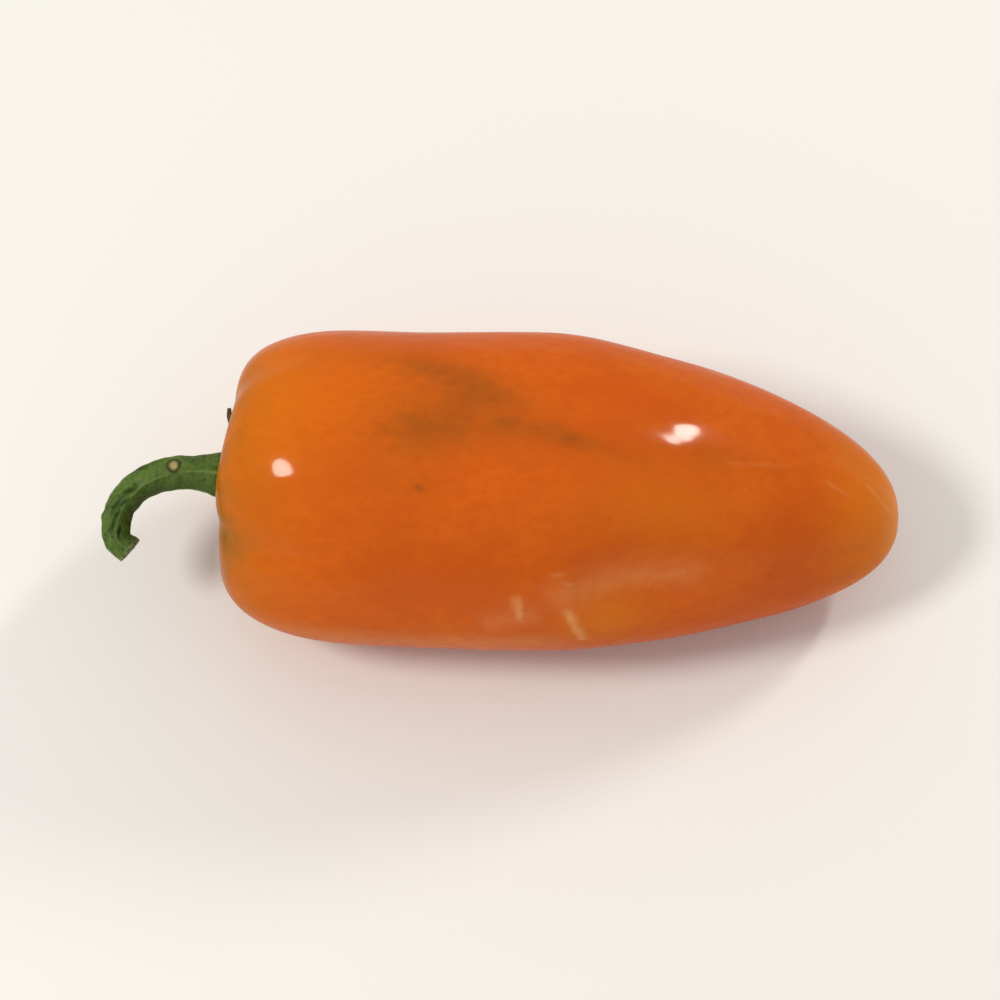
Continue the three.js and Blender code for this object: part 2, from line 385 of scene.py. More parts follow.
@dataclass(frozen=True)
class PepperSkin:
    """The glossy orange skin: its colours as it ripens, its smudges, its painted highlights and reflections,
    and its fine grain.
    """

    orange: Colour = (0.66, 0.118, 0.0015)
    deep: Colour = (0.55, 0.081, 0.0010)
    yellow: Colour = (0.67, 0.185, 0.0015)
    smudge: Colour = (0.27, 0.070, 0.004)
    unripe: Colour = (0.20, 0.105, 0.006)
    # Pale skin colour, also used for the painted highlights and reflections.
    pale: Colour = (0.74, 0.33, 0.11)
    speck: Colour = (0.22, 0.05, 0.004)
    roughness: tuple[float, float] = (0.20, 0.32)
    coat: float = 0.078
    coat_ior: float = 2.5
    coat_roughness: float = 0.09
    specular: float = 0.01
    subsurface: float = 0.12
    subsurface_radius: Colour = (1.0, 0.25, 0.05)
    subsurface_scale: float = 0.002
    stretch: Colour = (0.7, 1.0, 1.0)
    patches: float = 75.0
    patch_share: float = 0.75
    mottle: float = 900.0
    mottle_share: float = 0.6
    breaks: float = 330.0
    specks: float = 420.0
    speck_size: float = 0.16
    speck_share: float = 0.15
    cells: float = 2600.0
    cell_share: float = 0.35
    softness: float = 420.0
    grain_strength: float = 0.35
    grain_depth: float = 0.00006

    def material(self, effects: SharedEffects) -> bpy.types.Material:
        """Builds the material.

        Args:
            effects: the shared node groups.

        Returns:
            The material, on a Principled shader.
        """
        made = bpy.data.materials.new("pepper_skin")
        made.use_nodes = True
        nodes = Nodes(made.node_tree)
        shader = made.node_tree.nodes["Principled BSDF"]
        nodes.feed(shader.inputs["Base Color"], self.colour(nodes, effects))
        streaks = nodes.noise(nodes.place((0.5, 1.0, 1.0)), 240.0, 5.0, 0.6)
        nodes.feed(shader.inputs["Roughness"], nodes.range(streaks, 0.3, 0.7, *self.roughness))
        nodes.feed(shader.inputs["Normal"], self.grain(nodes, effects))
        shader.inputs["Coat Weight"].default_value = self.coat
        shader.inputs["Coat IOR"].default_value = self.coat_ior
        shader.inputs["Coat Roughness"].default_value = self.coat_roughness
        shader.inputs["Specular IOR Level"].default_value = self.specular
        shader.inputs["Subsurface Weight"].default_value = self.subsurface
        shader.inputs["Subsurface Radius"].default_value = self.subsurface_radius
        shader.inputs["Subsurface Scale"].default_value = self.subsurface_scale
        return made

    def colour(self, nodes: Nodes, effects: SharedEffects) -> Socket:
        """Orange that drifts deeper and yellower, then the green, smudges, pale veins with painted highlights
        and reflections, specks and pale tip.

        Args:
            nodes: the placer of nodes.
            effects: the shared node groups.

        Returns:
            The colour.
        """
        place = nodes.place(self.stretch)
        tones = {"Color": self.orange, "Towards": self.deep}
        drift = {"Place": place, "Patches": self.patches, "Amount": self.patch_share, **tones}
        colour = nodes.use(effects.drift, drift)
        mottled = nodes.range(nodes.noise(place, self.mottle, 6.0, 0.7), 0.35, 0.7)
        broken = nodes.range(nodes.noise(place, self.breaks, 5.0, 0.65), 0.3, 0.62, 0.45, 1.0)
        thinned = nodes.range(nodes.noise(nodes.place(), self.mottle, 4.0, 0.6), 0.3, 0.6, 0.6, 1.0)
        specks = {"Place": nodes.place(), "Specks": self.specks, "Size": self.speck_size}
        layers = (
            (mottled, self.mottle_share, self.deep),
            (nodes.mask(Mask.RIPE), 1.0, self.yellow),
            (nodes.math("MULTIPLY", nodes.mask(Mask.BLOTCH), broken), 1.0, self.smudge),
            (nodes.math("MULTIPLY", nodes.mask(Mask.GREEN), broken), 1.0, self.unripe),
            # Pale veins, and painted highlights and reflections, broken up by noise.
            (nodes.math("MULTIPLY", nodes.mask(Mask.VEINS_AND_HIGHLIGHTS), thinned), 1.0, self.pale),
            (nodes.mask(Mask.PALE), 1.0, self.pale),
            (nodes.use(effects.specks, specks), self.speck_share, self.speck),
            (nodes.mask(Mask.SCAR), 1.0, self.speck),
        )
        return nodes.layered(colour, layers)

    def grain(self, nodes: Nodes, effects: SharedEffects) -> Socket:
        """The skin's cells and soft unevenness, as a normal.

        Args:
            nodes: the placer of nodes.
            effects: the shared node groups.

        Returns:
            The normal.
        """
        sizes = {"Cell": self.cells, "Soft": self.softness, "Cells": self.cell_share}
        height = nodes.use(effects.grain, {"Place": nodes.place(), **sizes})
        inputs = {"Strength": self.grain_strength, "Distance": self.grain_depth, "Height": height}
        return nodes.add("Bump", inputs).outputs[0]


@dataclass(frozen=True)
class StemFinish:
    """The green stem and calyx: ridged, fibrous, and dry at the cut, the scar and the teeth."""

    green: Colour = (0.086, 0.145, 0.020)
    dark: Colour = (0.022, 0.048, 0.006)
    light: Colour = (0.150, 0.240, 0.050)
    cut: Colour = (0.155, 0.170, 0.070)
    dry: Colour = (0.075, 0.060, 0.015)
    scar_rim: Colour = (0.045, 0.030, 0.012)
    scar_core: Colour = (0.430, 0.330, 0.150)
    roughness: tuple[float, float] = (0.42, 0.62)
    specular: float = 0.18
    patches: float = 420.0
    patch_share: float = 0.6
    fibres: float = 2200.0
    fibre_share: float = 0.5
    shade_share: float = 0.6
    ridge_share: float = 0.55
    calyx_share: float = 0.35
    specks: float = 1500.0
    speck_size: float = 0.4
    speck_share: float = 0.6
    cells: float = 3200.0
    cell_share: float = 0.5
    softness: float = 1400.0
    grain_strength: float = 0.6
    grain_depth: float = 0.00016

    def material(self, effects: SharedEffects) -> bpy.types.Material:
        """Builds the material.

        Args:
            effects: the shared node groups.

        Returns:
            The material, on a Principled shader.
        """
        made = bpy.data.materials.new("green_stem")
        made.use_nodes = True
        nodes = Nodes(made.node_tree)
        shader = made.node_tree.nodes["Principled BSDF"]
        nodes.feed(shader.inputs["Base Color"], self.colour(nodes, effects))
        patchy = nodes.noise(nodes.place(), 900.0)
        nodes.feed(shader.inputs["Roughness"], nodes.range(patchy, 0.3, 0.7, *self.roughness))
        sizes = {"Cell": self.cells, "Soft": self.softness, "Cells": self.cell_share}
        height = nodes.use(effects.grain, {"Place": nodes.place(), **sizes})
        inputs = {"Strength": self.grain_strength, "Distance": self.grain_depth, "Height": height}
        nodes.feed(shader.inputs["Normal"], nodes.add("Bump", inputs).outputs[0])
        shader.inputs["Specular IOR Level"].default_value = self.specular
        return made

    def colour(self, nodes: Nodes, effects: SharedEffects) -> Socket:
        """Green with darker patches, painted shade on one side and at the hook's bend, and lighter ridges,
        then splits, cut, dry edges and scar.

        Args:
            nodes: the placer of nodes.
            effects: the shared node groups.

        Returns:
            The colour.
        """
        place = nodes.place()
        tones = {"Color": self.green, "Towards": self.dark}
        drift = {"Place": place, "Patches": self.patches, "Amount": self.patch_share, **tones}
        colour = nodes.use(effects.drift, drift)
        fibres = nodes.range(nodes.noise(place, self.fibres, 5.0, 0.7), 0.4, 0.7)
        specks = {"Place": place, "Specks": self.specks, "Size": self.speck_size}
        layers = (
            (fibres, self.fibre_share, self.light),
            (nodes.mask(Mask.SHADE), self.shade_share, self.dark),
            (nodes.mask(Mask.RIDGE), self.ridge_share, self.light),
            (nodes.mask(Mask.CALYX), self.calyx_share, self.light),
            (nodes.mask(Mask.SPLIT), 1.0, self.dark),
            (nodes.mask(Mask.CUT), 1.0, self.cut),
            (nodes.use(effects.specks, specks), self.speck_share, self.dark),
            (nodes.mask(Mask.DRY), 1.0, self.dry),
            (nodes.mask(Mask.SCAR), 1.0, self.scar_rim),
            (nodes.mask(Mask.SCAR_CORE), 1.0, self.scar_core),
        )
        return nodes.layered(colour, layers)


# ---------------------------------------------------------------------------------------------------
# The fruit
# ---------------------------------------------------------------------------------------------------


@dataclass(frozen=True)
class Groove:
    """A groove between two lobes, from crest to tip: its turns, and how deep it is against the others."""

    at_shoulder: float
    at_tip: float
    strength: float


@dataclass(frozen=True)
class LobeSetBack:
    """A lobe whose crest stands further back, by so many millimetres."""

    turn: float
    half_turn: float
    by: float


@dataclass(frozen=True)
class Dent:
    """A hollow pressed into the skin, steeper before its middle than after it."""

    at: float
    turn: float
    before: float
    after: float
    half_turn: float
    depth: float


@dataclass(frozen=True)
class Fold:
    """A fine raised fold of skin along a bent line of places, each a distance and a turn."""

    line: Line
    half_width: float
    height: float


@dataclass(frozen=True)
class VeinAndHighlightLine:
    """Pale colour along a bent line of places, each a distance and a turn. Near the tip these are pale veins;
    on the folds, the dent and the lower side they are painted highlights and painted reflections.
    """

    line: Line
    half_width: float
    strength: float


@dataclass(frozen=True)
class Smudge:
    """A soft stain: its middle, its half sizes along and around in millimetres, and its slant in degrees."""

    at: float
    turn: float
    half_long: float
    half_wide: float
    slant: float
    strength: float


@dataclass(frozen=True)
class RipePatch:
    """A yellower patch: its middle, its half size along, its half turn and how yellow it is."""

    at: float
    turn: float
    half_long: float
    half_turn: float
    share: float


@dataclass
class Fruit:
    """The whole fruit, from the middle of the stem hollow to the blossom tip."""

    length: float = 79.2
    belly_radius: float = 18.5
    belly_at: float = 34.0
    shoulder_length: float = 15.0
    shoulder_power: float = 2.35
    shoulder_slack: float = 0.02
    crest_radius: float = 8.6
    hollow_deep: float = 4.6
    hollow_power: float = 2.2
    taper_from: float = 40.0
    taper_ease: float = 0.12
    taper_power: float = 1.2
    tip_bluntness: float = 0.43
    rest_height: float = 17.45
    tip_drop: float = 7.0
    tip_drop_power: float = 1.75
    forward_bow: float = 1.0
    bow_length: float = 26.0
    grooves: tuple[Groove, ...] = (
        Groove(-35.0, -14.0, 0.75),
        Groove(54.0, 63.0, 1.0),
        Groove(189.0, 185.0, 1.0),
    )
    valley_half_turn: float = 30.0
    crease_half_turn: float = 9.0
    valley_share: tuple[float, float, float] = (0.055, 0.03, 0.06)
    crease_share: tuple[float, float, float] = (0.04, 0.0, 0.035)
    crease_fades_by: float = 20.0
    crease_returns_at: float = 60.0
    notch: tuple[float, float] = (0.3, 0.25)
    set_back: tuple[LobeSetBack, ...] = (
        LobeSetBack(-65.0, 60.0, 2.2),
        LobeSetBack(-8.0, 36.0, 0.75),
        LobeSetBack(90.0, 45.0, 0.75),
    )
    dents: tuple[Dent, ...] = (
        Dent(46.0, 63.0, 5.5, 13.0, 15.0, 1.25),
        Dent(24.0, -62.0, 8.0, 9.0, 24.0, 0.4),
    )
    folds: tuple[Fold, ...] = (
        Fold(((38.6, 54.0), (40.4, 61.0), (40.4, 75.0), (42.6, 96.0)), 0.8, 0.16),
        Fold(((34.6, 66.0), (35.2, 79.0)), 0.7, 0.06),
    )
    marks: tuple[VeinAndHighlightLine, ...] = (
        # The first four are painted highlights: on the two folds and at the edge of the dent.
        VeinAndHighlightLine(((34.6, 65.0), (35.0, 81.0)), 0.44, 0.85),
        VeinAndHighlightLine(((40.0, 71.0), (41.0, 80.0), (42.6, 97.0)), 0.5, 0.85),
        VeinAndHighlightLine(((38.2, 58.0), (40.2, 56.5)), 0.3, 0.45),
        VeinAndHighlightLine(((39.6, 61.0), (41.4, 62.5)), 0.35, 0.45),
        # Painted reflections: a band across the dent, then two along the lower side.
        VeinAndHighlightLine(((36.0, 69.0), (41.0, 66.5), (46.0, 62.0), (58.0, 59.5)), 2.3, 0.26),
        VeinAndHighlightLine(((30.0, 84.0), (38.0, 74.0)), 2.2, 0.22),
        VeinAndHighlightLine(((4.0, 98.0), (22.0, 98.0), (44.0, 95.0)), 2.6, 0.3),
        # The last three are pale veins near the tip.
        VeinAndHighlightLine(((57.0, 9.0), (66.5, 3.5)), 0.3, 0.13),
        VeinAndHighlightLine(((69.5, 7.0), (73.0, 15.0)), 0.3, 0.24),
        VeinAndHighlightLine(((74.6, -3.0), (76.4, 8.0), (78.0, 22.0)), 0.35, 0.3),
    )
    unevenness: float = 0.05
    uneven_length: float = 13.0
    ripple: float = 0.009
    ripple_length: float = 2.6
    smudges: tuple[Smudge, ...] = (
        Smudge(28.5, -16.5, 8.5, 3.0, 28.0, 0.72),
        Smudge(27.3, 1.5, 8.0, 3.2, 6.0, 0.58),
        Smudge(22.0, 10.0, 4.0, 5.0, 0.0, 0.36),
        Smudge(40.0, 5.5, 7.5, 1.3, 14.0, 0.42),
        Smudge(40.8, 6.5, 1.0, 0.7, 0.0, 0.25),
        Smudge(56.0, 5.0, 7.5, 2.6, 0.0, 0.25),
        Smudge(23.8, 25.0, 0.6, 0.35, 20.0, 0.8),
    )
    ripe_patches: tuple[RipePatch, ...] = (
        RipePatch(51.0, 29.0, 9.0, 16.0, 0.35),
        RipePatch(9.0, -15.0, 13.0, 50.0, 0.25),
        RipePatch(44.5, 82.0, 4.5, 13.0, 0.6),
    )
    shoulder_ripe: float = 0.35
    shoulder_ripe_to: float = 16.0
    tip_ripe: float = 0.75
    tip_ripe_from: float = 66.0
    tip_pale: float = 0.3
    tip_pale_from: float = 76.0
    hollow_green: float = 0.42
    edge_greens: Line = ((0.28, 10.0), (0.26, 2.2))
    groove_green: tuple[float, float] = (0.25, 0.3)
    groove_green_turn: tuple[float, float] = (40.0, 70.0)
    groove_green_to: float = 6.5
    blossom_scar: float = 0.8
    blossom_scar_radius: float = 1.1
    around: int = 320
    rows: tuple[int, int, int] = (36, 50, 150)
    move: Array = field(init=False)

    def __post_init__(self) -> None:
        """Finds the way from this frame to the CAD model's, by laying this skin's box on the CAD fruit's."""
        points, _ = self.surface()
        low, high = points.reshape(-1, 3).min(0), points.reshape(-1, 3).max(0)
        cad_low, cad_high = (np.array(corner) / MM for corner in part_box("fruit"))
        self.move = np.array(
            [cad_low[0] - low[0], (cad_low[1] + cad_high[1] - low[1] - high[1]) / 2.0, cad_low[2] - low[2]]
        )

    def in_metres(self, points: Array) -> Array:
        """Points of this frame, in metres in the CAD model's frame."""
        return (points + self.move) * MM

    def tapered(self, along: Array) -> Array:
        """Share of the taper behind a point: an eased ramp to the tip, to a power.

        Args:
            along: distance from the crest.

        Returns:
            The share, from 0 to 1.
        """
        part = (along - self.taper_from) / (self.length - self.taper_from)
        eased = (part + np.hypot(part, self.taper_ease)) / (1.0 + math.hypot(1.0, self.taper_ease))
        return np.minimum(eased, 1.0) ** self.taper_power

    def plain_radius(self, along: Array) -> Array:
        """Radius without lobes: a squarish quarter ring at the shoulder, a straight side, and the taper.

        Args:
            along: distance from the crest.

        Returns:
            The radius in millimetres.
        """
        before = np.maximum(0.0, self.belly_at - along) / (self.belly_at - self.shoulder_length)
        tapering = np.maximum(1.0 - self.tapered(along), 0.0) ** self.tip_bluntness
        side = self.belly_radius * (1.0 - self.shoulder_slack * before**2) * tapering
        inward = np.clip(1.0 - along / self.shoulder_length, 0.0, 1.0)
        rounded = (1.0 - inward**self.shoulder_power) ** (1.0 / self.shoulder_power)
        return mixed(self.crest_radius, side, rounded)

    def hollow_depth(self, radius: Array) -> Array:
        """Depth of the stem hollow: half a cosine wave from the middle to the crest, of a power of radius."""
        inside = np.minimum(radius, self.crest_radius) / self.crest_radius
        return self.hollow_deep * (1.0 + np.cos(np.pi * inside**self.hollow_power)) / 2.0

    def crest_share(self, radius: Array) -> Array:
        """Share of the crest's lobed shape in the hollow: 0 in the middle, levelling to 1 at the crest."""
        return 1.0 - (1.0 - np.minimum(1.0, radius / self.crest_radius)) ** 2

    def depth_along(self, shares: tuple[float, float, float], along: Array, returns_at: float) -> Array:
        """A depth that goes smoothly from the shoulder's to the belly's to the tip's."""
        early = mixed(shares[0], shares[1], smoothstep(along, 0.0, self.crease_fades_by))
        return mixed(early, shares[2], smoothstep(along, returns_at, self.length))

    def in_grooves(self, along: Array, turn: Array) -> tuple[Array, Array]:
        """How deep a point is in the valleys and in the creases, each a sum of humps of turn.

        Args:
            along: distance from the crest.
            turn: degrees from the top towards the front.

        Returns:
            The depth in the wide valleys and in the narrow creases, 1 in the middle of a full groove.
        """
        way = np.clip(along / self.length, 0.0, 1.0)
        valley = np.zeros(np.broadcast(along, turn).shape)
        crease = np.zeros_like(valley)
        for groove in self.grooves:
            off = turn_off(turn, mixed(groove.at_shoulder, groove.at_tip, way))
            valley += groove.strength * bell(off, self.valley_half_turn)
            crease += groove.strength * bell(off, self.crease_half_turn)
        return valley, crease

    def pressed(self, along: Array, turn: Array) -> Array:
        """Millimetres pressed in: a hump of depth for each dent, less a ridge for each fold.

        Args:
            along: distance from the crest.
            turn: degrees from the top towards the front.

        Returns:
            The depth in millimetres.
        """
        depth = np.zeros(np.broadcast(along, turn).shape)
        for dent in self.dents:
            off = (along - dent.at) / np.where(along < dent.at, dent.before, dent.after)
            depth += dent.depth * np.exp(-(off**2)) * bell(turn_off(turn, dent.turn), dent.half_turn)
        for fold in self.folds:
            gap, share = along_line(along, turn, fold.line, self.belly_radius)
            ends = smoothstep(share, 0.0, 0.15) * (1.0 - smoothstep(share, 0.85, 1.0))
            depth -= fold.height * bell(gap, fold.half_width) * ends
        return depth

    def centreline(self, along: Array) -> tuple[Array, Array]:
        """The centreline: a bow to the front, and a drop to the tip by a power of the way there.

        Args:
            along: distance from the crest.

        Returns:
            Its sideways place and its height.
        """
        past = np.clip((along - self.belly_at) / (self.length - self.belly_at), 0.0, 1.0)
        bowed = -self.forward_bow * (1.0 - bell(np.maximum(along, 0.0), self.bow_length))
        return bowed, self.rest_height - self.tip_drop * past**self.tip_drop_power

    def crest_shift(self, turn: Array, share: Array) -> Array:
        """How much further along the lobed crest is: the grooves' notches, and the lobes set back.

        Args:
            turn: degrees from the top towards the front.
            share: share of the crest's lobed shape.

        Returns:
            The distance in millimetres.
        """
        valley, crease = self.in_grooves(np.zeros_like(turn), turn)
        shift = self.notch[0] * valley + self.notch[1] * crease
        for lobe in self.set_back:
            shift = shift + lobe.by * bell(turn_off(turn, lobe.turn), lobe.half_turn)
        return share * shift

    def skin(self, along: Array, radius: Array, turn: Array, crest: Array) -> Array:
        """The skin's point for a point of the plain outline.

        The radius is reduced by the grooves' share of it and by what is pressed in. The point is then set
        off from the centreline by that reach at its turn, and pressed flat where it would be below the
        surface that the fruit lies on.

        Args:
            along: distance from the crest.
            radius: plain radius.
            turn: degrees from the top towards the front.
            crest: share of the crest's lobed shape.

        Returns:
            Points, with x, y, z last, in millimetres.
        """
        valley, crease = self.in_grooves(along, turn)
        share = self.depth_along(self.valley_share, along, self.belly_at) * valley
        share = share + self.depth_along(self.crease_share, along, self.crease_returns_at) * crease
        full = radius / self.belly_radius
        reach = np.maximum(0.0, radius * (1.0 - share) - self.pressed(along, turn) * full)
        sideways, height = self.centreline(along)
        angle = np.radians(turn)
        x = along + self.crest_shift(turn, crest)
        y = sideways - reach * np.sin(angle)
        z = height + reach * np.cos(angle)
        points = np.stack([x, y, z], -1)
        lumps = self.unevenness * waves(points, self.uneven_length, 5)
        lumps = lumps + self.ripple * waves(points, self.ripple_length, 9)
        uneven = lumps * smoothstep(full, 0.5, 0.9)
        points[..., 1] -= uneven * np.sin(angle)
        points[..., 2] += uneven * np.cos(angle)
        points[..., 2] = np.maximum(points[..., 2], 0.0)
        return points

    def surface(self) -> tuple[Array, dict[Mask, Array]]:
        """The grid of the skin and its masks.

        Returns:
            The points, rings by places around by x, y, z, and the masks on the same grid.
        """
        hollow, shoulder, side = self.rows
        radius_in = np.linspace(0.0, self.crest_radius, hollow, endpoint=False)
        quarter = np.linspace(0.0, np.pi / 2.0, shoulder, endpoint=False)
        inward = np.cos(quarter) ** (2.0 / self.shoulder_power)
        on_shoulder = self.shoulder_length * (1.0 - inward)
        on_side = mixed(self.shoulder_length, self.length, np.sin(np.linspace(0.0, np.pi / 2.0, side)))
        along = np.concatenate([self.hollow_depth(radius_in), on_shoulder, on_side])
        radius = np.concatenate([radius_in, self.plain_radius(on_shoulder), self.plain_radius(on_side)])
        crest = np.concatenate([self.crest_share(radius_in), inward**3, np.zeros(side)])
        radius[-1] = 0.0
        turn = np.arange(self.around) * (360.0 / self.around) + 180.0
        grid = (along[:, None], radius[:, None], turn[None, :], crest[:, None])
        spread = [np.broadcast_to(a, (len(along), self.around)) for a in grid]
        points = self.skin(*spread)
        points[0], points[-1] = points[0, 0], points[-1, 0]
        within = np.broadcast_to(np.arange(len(along))[:, None] < hollow, spread[0].shape)
        return points, self.masks(spread[0], spread[1], spread[2], within)

    def masks(self, along: Array, radius: Array, turn: Array, within: Array) -> dict[Mask, Array]:
        """Where the skin is smudged, unripe, yellower, pale or scarred, and where highlights and reflections
        are painted.

        Args:
            along: distance from the crest.
            radius: plain radius.
            turn: degrees from the top towards the front.
            within: true in the stem hollow.

        Returns:
            Each mask on the same grid.
        """
        outer = (along > self.length / 2.0) & ~within
        return {
            Mask.BLOTCH: self.smudged(along, turn),
            Mask.GREEN: self.unripe(along, turn, within),
            Mask.RIPE: self.yellowed(along, turn),
            # Pale veins, and painted highlights and reflections.
            Mask.VEINS_AND_HIGHLIGHTS: self.pale_veins_and_highlights(along, turn),
            Mask.PALE: self.tip_pale * smoothstep(along, self.tip_pale_from, self.length),
            Mask.SCAR: self.blossom_scar * bell(radius, self.blossom_scar_radius) * outer,
        }

    def smudged(self, along: Array, turn: Array) -> Array:
        """The smudges: a sum of humps over each one's slanted long way and wide way.

        Args:
            along: distance from the crest.
            turn: degrees from the top towards the front.

        Returns:
            The mask.
        """
        blotch = np.zeros(along.shape)
        for smudge in self.smudges:
            across = np.radians(turn_off(turn, smudge.turn)) * self.belly_radius
            slant = math.radians(smudge.slant)
            long_way = (along - smudge.at) * math.cos(slant) + across * math.sin(slant)
            wide_way = across * math.cos(slant) - (along - smudge.at) * math.sin(slant)
            blotch += smudge.strength * bell(long_way, smudge.half_long) * bell(wide_way, smudge.half_wide)
        return np.clip(blotch, 0.0, 1.0)

    def unripe(self, along: Array, turn: Array, within: Array) -> Array:
        """The green: all of the hollow, fading over the crest, and deeper in the grooves at the front.

        Args:
            along: distance from the crest.
            turn: degrees from the top towards the front.
            within: true in the stem hollow.

        Returns:
            The mask.
        """
        valley, crease = self.in_grooves(along, turn)
        middle, half = self.groove_green_turn
        near = bell(turn_off(turn, middle), half) * (1.0 - smoothstep(along, 0.5, self.groove_green_to))
        dull = (self.groove_green[0] * valley + self.groove_green[1] * crease) * near
        edge = sum(share * (1.0 - smoothstep(along, 0.0, to)) for share, to in self.edge_greens)
        return np.clip(dull + np.where(within, self.hollow_green, edge), 0.0, 1.0)

    def yellowed(self, along: Array, turn: Array) -> Array:
        """The yellower skin: the shoulder and the tip by smooth steps, and a hump for each patch.

        Args:
            along: distance from the crest.
            turn: degrees from the top towards the front.

        Returns:
            The mask.
        """
        ripe = self.shoulder_ripe * (1.0 - smoothstep(along, 1.0, self.shoulder_ripe_to))
        ripe = ripe + self.tip_ripe * smoothstep(along, self.tip_ripe_from, self.length)
        for patch in self.ripe_patches:
            around = bell(turn_off(turn, patch.turn), patch.half_turn)
            ripe = ripe + patch.share * bell(along - patch.at, patch.half_long) * around
        return np.clip(ripe, 0.0, 1.0)

    def pale_veins_and_highlights(self, along: Array, turn: Array) -> Array:
        """The pale veins and the painted highlights and reflections: the greatest of a hump over each one's
        line, faded to its ends.

        Args:
            along: distance from the crest.
            turn: degrees from the top towards the front.

        Returns:
            The mask.
        """
        veins_and_highlights = np.zeros(along.shape)
        for mark in self.marks:
            gap, share = along_line(along, turn, mark.line, self.belly_radius)
            ends = smoothstep(share, 0.0, 0.2) * (1.0 - smoothstep(share, 0.8, 1.0))
            veins_and_highlights = np.maximum(veins_and_highlights, mark.strength * bell(gap, mark.half_width) * ends)
        return veins_and_highlights

    def build(self) -> bpy.types.Object:
        """Makes the fruit's mesh, closed from the hollow's middle to the tip."""
        points, masks = self.surface()
        return closed_grid("fruit_skin", self.in_metres(points), masks)

    def dress(self, piece: bpy.types.Object, effects: SharedEffects) -> None:
        """Gives the fruit its skin, and puts it in the CAD fruit's place.

        Args:
            piece: the piece's object.
            effects: the shared node groups.
        """
        piece.data.materials.append(PepperSkin().material(effects))
        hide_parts("fruit")
        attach(piece, BODY)


# ---------------------------------------------------------------------------------------------------
# The stem and calyx
# ---------------------------------------------------------------------------------------------------


@dataclass(frozen=True)
class Tooth:
    """A tooth of the calyx: its turn, and how far it reaches from the middle."""

    turn: float
    reach: float


@dataclass(frozen=True)
class Split:
    """A furrow along the stem: where along its line, its angle round it, and its half length and width."""

    at: float
    angle: float
    half_long: float
    half_wide: float
    depth: float


